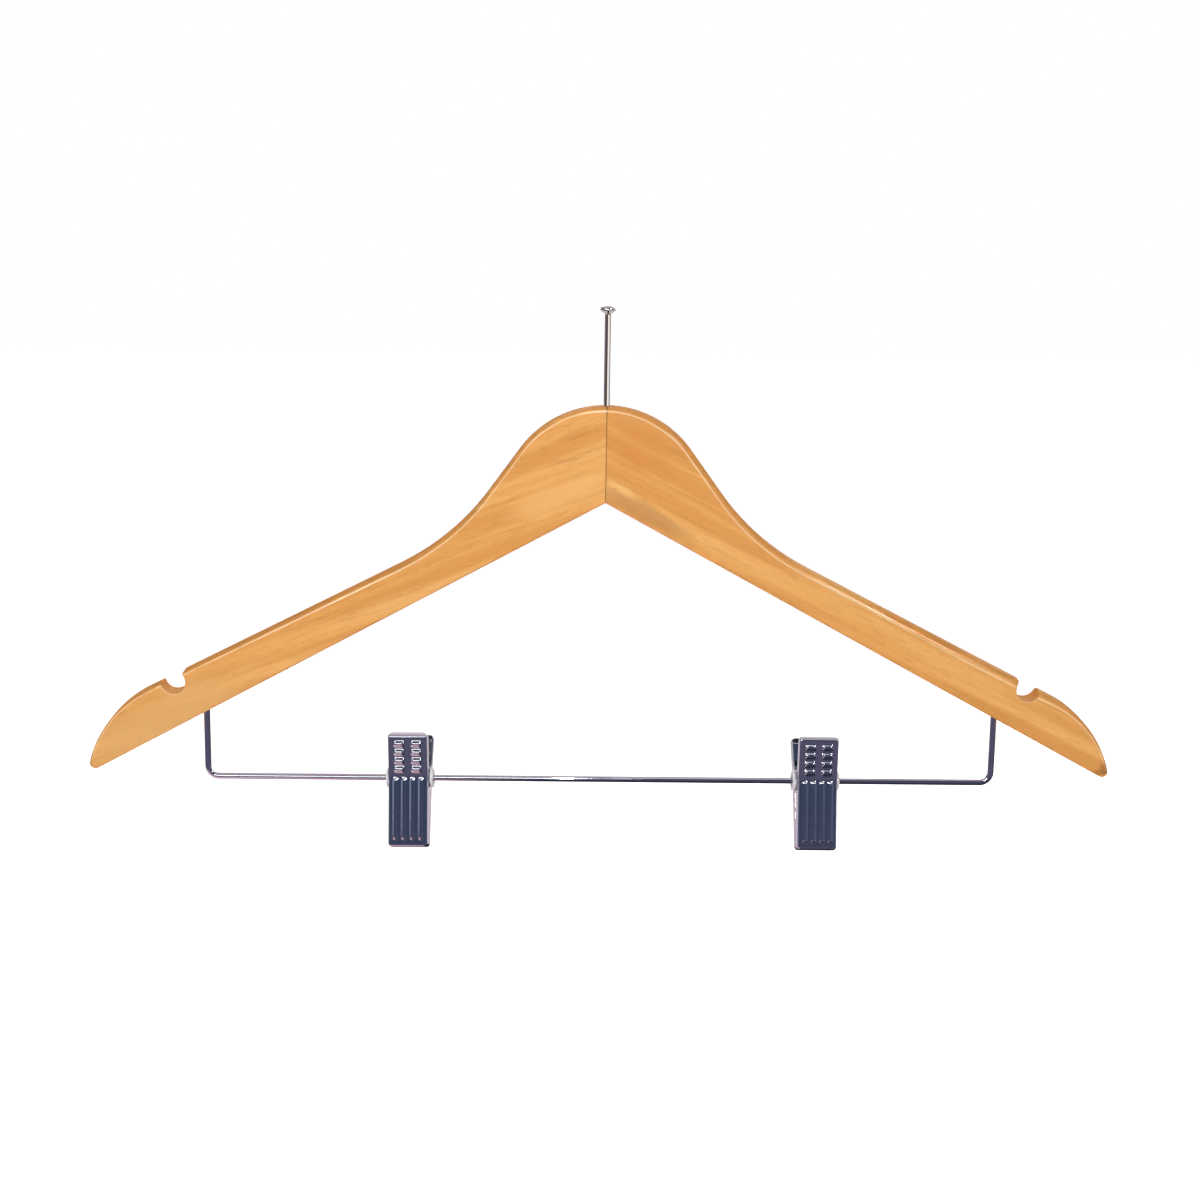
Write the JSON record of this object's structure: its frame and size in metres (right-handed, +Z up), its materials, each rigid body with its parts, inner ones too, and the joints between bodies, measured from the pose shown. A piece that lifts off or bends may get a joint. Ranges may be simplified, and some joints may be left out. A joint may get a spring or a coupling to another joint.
{
  "type": "skirt hanger",
  "caption": "Varnished wooden skirt hanger with a nail-headed security pin, strap notches and a wire bar carrying sprung chrome clips that slide and swing.",
  "frame": {"origin": "centre of the security pin's head, by which the hanger is held", "axes": "+X along the hanger to the right as seen from the front, +Y from the front to the back, +Z up along the pin"},
  "size_m": [0.445, 0.033, 0.2373],
  "materials": {
    "wood": "honey-coloured clear gloss varnish",
    "pin_steel": "polished nickel plate",
    "bar_chrome": "bright chrome plate",
    "clip_chrome": "bright chrome plate on pressed sheet",
    "bush_plastic": "milky natural plastic",
    "spring_steel": "drawn spring wire"
  },
  "bodies": {
    "hanger_frame": {"left_arm": "wood", "right_arm": "wood", "security_pin": "pin_steel", "clip_bar": "bar_chrome"},
    "left_clip_slider": {"left_clip_bush": "bush_plastic"},
    "left_clip_front": {"left_clip_front_jaw": "clip_chrome", "left_clip_spring": "spring_steel"},
    "left_clip_back": {"left_clip_back_jaw": "clip_chrome"},
    "right_clip_slider": {"right_clip_bush": "bush_plastic"},
    "right_clip_front": {"right_clip_front_jaw": "clip_chrome", "right_clip_spring": "spring_steel"},
    "right_clip_back": {"right_clip_back_jaw": "clip_chrome"}
  },
  "joints": [
    {"name": "left_clip_slide", "type": "slide", "parent": "hanger_frame", "child": "left_clip_slider", "axis": [1, 0, 0], "range_m": [-0.0724, 0.0716]},
    {"name": "left_clip_swing", "type": "hinge", "parent": "left_clip_slider", "child": "left_clip_front", "pos_m": [-0.0836, 0, -0.20535], "axis": [0.9962, -0.0819, 0.0298], "continuous": true},
    {"name": "left_clip_squeeze", "type": "hinge", "parent": "left_clip_front", "child": "left_clip_back", "pos_m": [-0.0836, 0, -0.20535], "axis": [0.9962, -0.0819, 0.0298], "range_deg": [0, 28], "stiffness_Nm_per_rad": 0.11, "springref_deg": -28.65, "deforming": ["left_clip_spring"]},
    {"name": "right_clip_slide", "type": "slide", "parent": "hanger_frame", "child": "right_clip_slider", "axis": [1, 0, 0], "range_m": [-0.0823, 0.0617]},
    {"name": "right_clip_swing", "type": "hinge", "parent": "right_clip_slider", "child": "right_clip_front", "pos_m": [0.0943, 0, -0.20535], "axis": [0.9962, 0.0819, -0.0298], "continuous": true},
    {"name": "right_clip_squeeze", "type": "hinge", "parent": "right_clip_front", "child": "right_clip_back", "pos_m": [0.0943, 0, -0.20535], "axis": [0.9962, 0.0819, -0.0298], "range_deg": [0, 28], "stiffness_Nm_per_rad": 0.11, "springref_deg": -28.65, "deforming": ["right_clip_spring"]}
  ]
}
